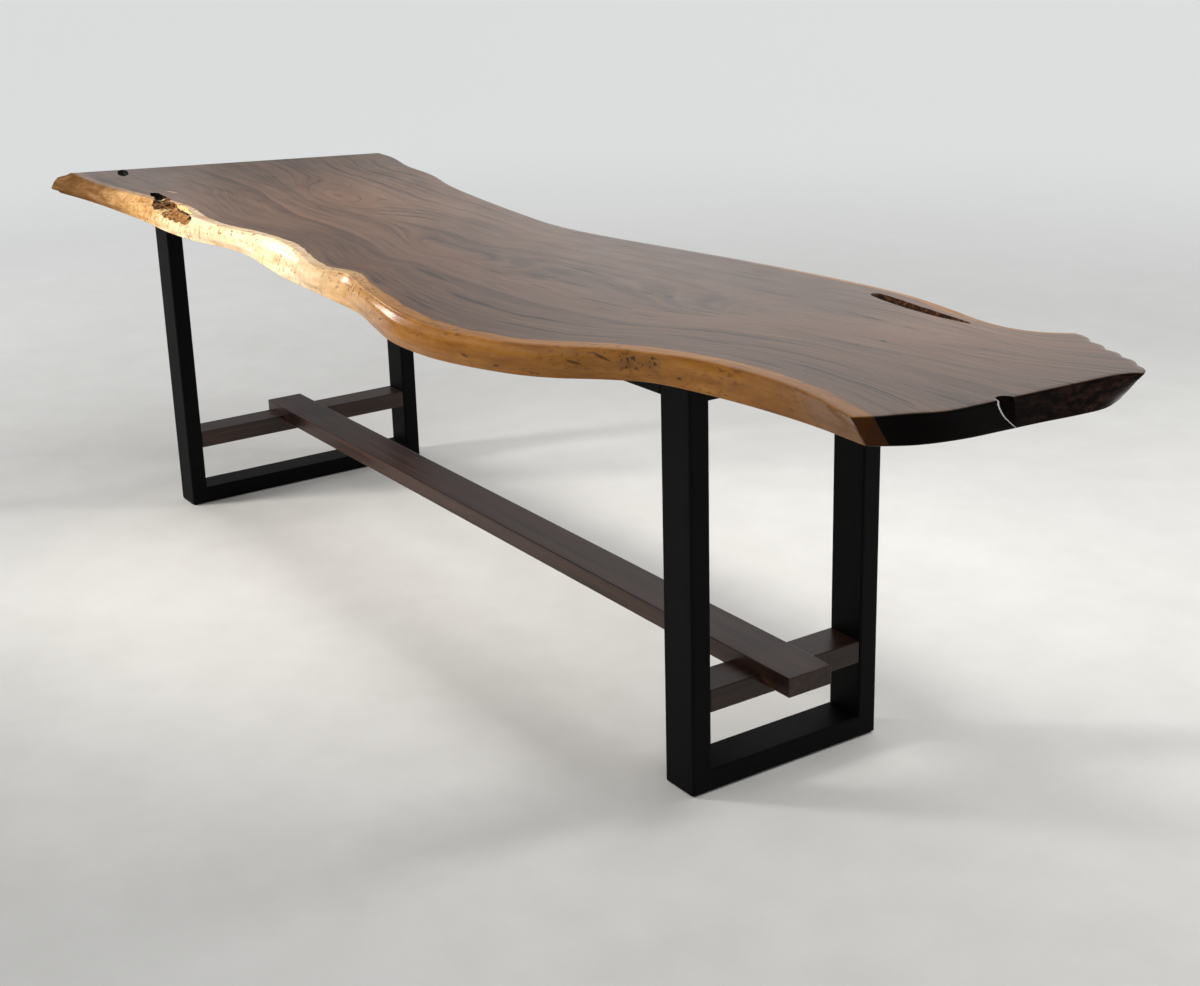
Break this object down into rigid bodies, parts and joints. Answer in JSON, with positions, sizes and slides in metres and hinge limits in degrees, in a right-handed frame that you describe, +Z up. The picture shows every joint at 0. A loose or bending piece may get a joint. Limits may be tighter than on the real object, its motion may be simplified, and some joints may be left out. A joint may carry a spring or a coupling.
{
  "type": "bar table",
  "caption": "Bar-height table with a live-edge timber slab on black rectangular-tube steel frames tied by dark timber stretchers.",
  "frame": {"origin": "middle of the table's bounding box, on the floor", "axes": "+X along the slab towards its dark cut end, -Y towards the pale live edge, +Z up"},
  "size_m": [3.9977, 1.1411, 1.02],
  "materials": {
    "slab_wood": "dark heartwood with pale sapwood edges under satin gloss lacquer",
    "stretcher_wood": "dark stain, satin",
    "black_steel": "black paint, satin",
    "zinc_steel": "zinc plated",
    "brass": "turned",
    "rubber": "matt"
  },
  "bodies": {
    "root": {"slab_top": "slab_wood", "near_front_leg": "black_steel", "near_back_leg": "black_steel", "near_floor_rail": "black_steel", "near_top_rail": "black_steel", "far_front_leg": "black_steel", "far_back_leg": "black_steel", "far_floor_rail": "black_steel", "far_top_rail": "black_steel", "front_under_rail": "black_steel", "back_under_rail": "black_steel", "near_cross_stretcher": "stretcher_wood", "far_cross_stretcher": "stretcher_wood", "long_stretcher": "stretcher_wood", "near_front_glide": "rubber", "near_front_mounting_plate": "black_steel", "near_front_seat_tab": "black_steel", "near_front_tab_screw": "zinc_steel", "near_front_inner_bolt": "zinc_steel", "near_front_inner_washer": "zinc_steel", "near_front_inner_insert": "brass", "near_front_outer_bolt": "zinc_steel", "near_front_outer_washer": "zinc_steel", "near_front_outer_insert": "brass", "near_back_glide": "rubber", "near_back_mounting_plate": "black_steel", "near_back_seat_tab": "black_steel", "near_back_tab_screw": "zinc_steel", "near_back_inner_bolt": "zinc_steel", "near_back_inner_washer": "zinc_steel", "near_back_inner_insert": "brass", "near_back_outer_bolt": "zinc_steel", "near_back_outer_washer": "zinc_steel", "near_back_outer_insert": "brass", "near_lap_screw_1": "zinc_steel", "near_lap_screw_2": "zinc_steel", "far_front_glide": "rubber", "far_front_mounting_plate": "black_steel", "far_front_seat_tab": "black_steel", "far_front_tab_screw": "zinc_steel", "far_front_inner_bolt": "zinc_steel", "far_front_inner_washer": "zinc_steel", "far_front_inner_insert": "brass", "far_front_outer_bolt": "zinc_steel", "far_front_outer_washer": "zinc_steel", "far_front_outer_insert": "brass", "far_back_glide": "rubber", "far_back_mounting_plate": "black_steel", "far_back_seat_tab": "black_steel", "far_back_tab_screw": "zinc_steel", "far_back_inner_bolt": "zinc_steel", "far_back_inner_washer": "zinc_steel", "far_back_inner_insert": "brass", "far_back_outer_bolt": "zinc_steel", "far_back_outer_washer": "zinc_steel", "far_back_outer_insert": "brass", "far_lap_screw_1": "zinc_steel", "far_lap_screw_2": "zinc_steel"}
  },
  "joints": []
}
